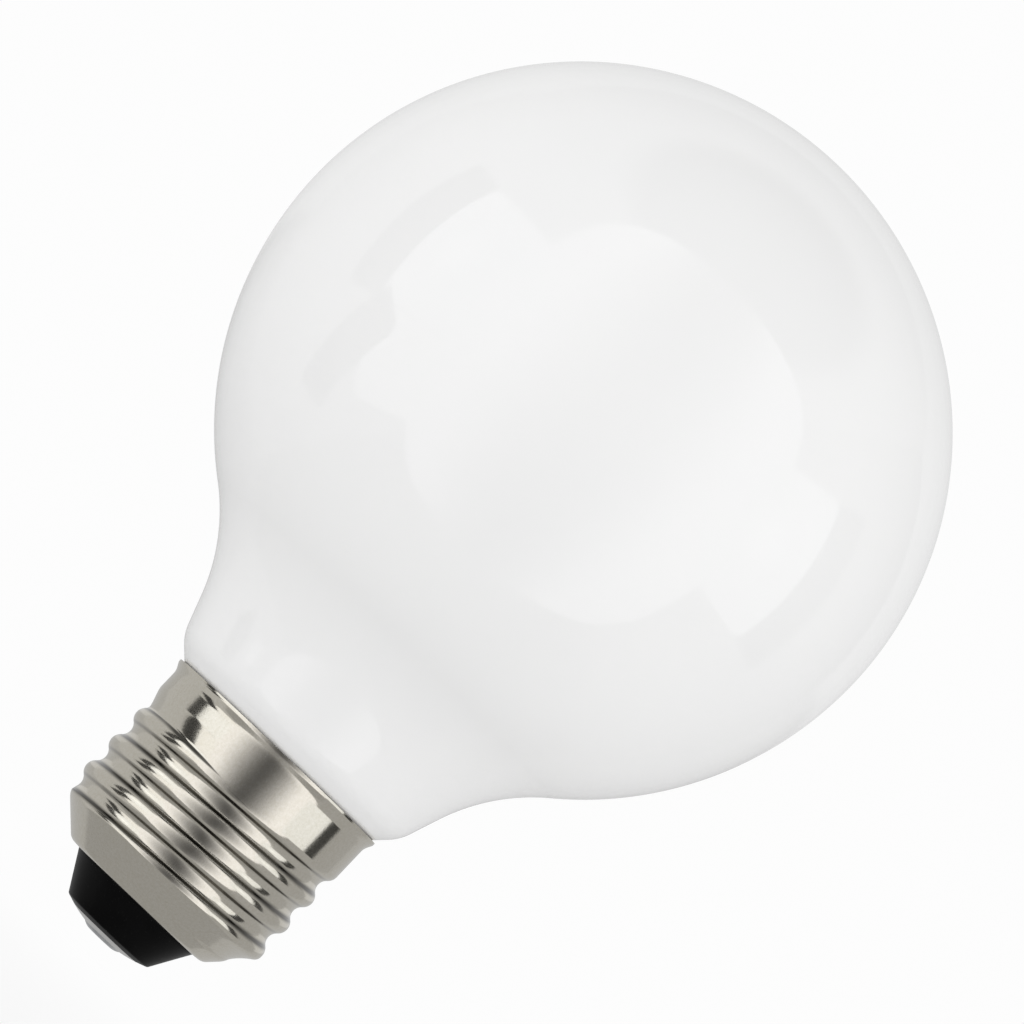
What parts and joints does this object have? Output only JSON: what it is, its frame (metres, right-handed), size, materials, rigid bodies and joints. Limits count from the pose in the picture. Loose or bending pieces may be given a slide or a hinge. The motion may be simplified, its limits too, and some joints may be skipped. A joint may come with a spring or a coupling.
{
  "type": "globe bulb",
  "caption": "White opal glass globe lamp on a nickel-plated screw cap, with a black glass insulator and a centre contact.",
  "frame": {"origin": "middle of the centre contact's flat, the lowest point of the cap, on the bulb's axis", "axes": "+Z along the bulb's axis from the cap towards the crown of the globe; -Z points out of the cap into its socket; +Y is the side of the rim solder"},
  "size_m": [0.075, 0.075, 0.108],
  "materials": {
    "opal_glass": "opal white glass, opaque, smooth and glossy",
    "nickel_plate": "nickel plate on thin rolled sheet, bright with a fine grain",
    "black_glass": "moulded black glass, opaque, smooth",
    "tinned_contact": "tinned sheet, softly bright",
    "solder": "solder, set in a smooth bead",
    "basing_cement": "fired cement, matt and slightly grainy",
    "lead_wire": "bare copper wire"
  },
  "bodies": {
    "root": {"glass_bulb": "opal_glass", "screw_shell": "nickel_plate", "insulator": "black_glass", "contact_plate": "tinned_contact", "centre_solder": "solder", "basing_cement": "basing_cement", "centre_lead": "lead_wire", "side_lead": "lead_wire", "rim_solder": "solder"}
  },
  "joints": []
}
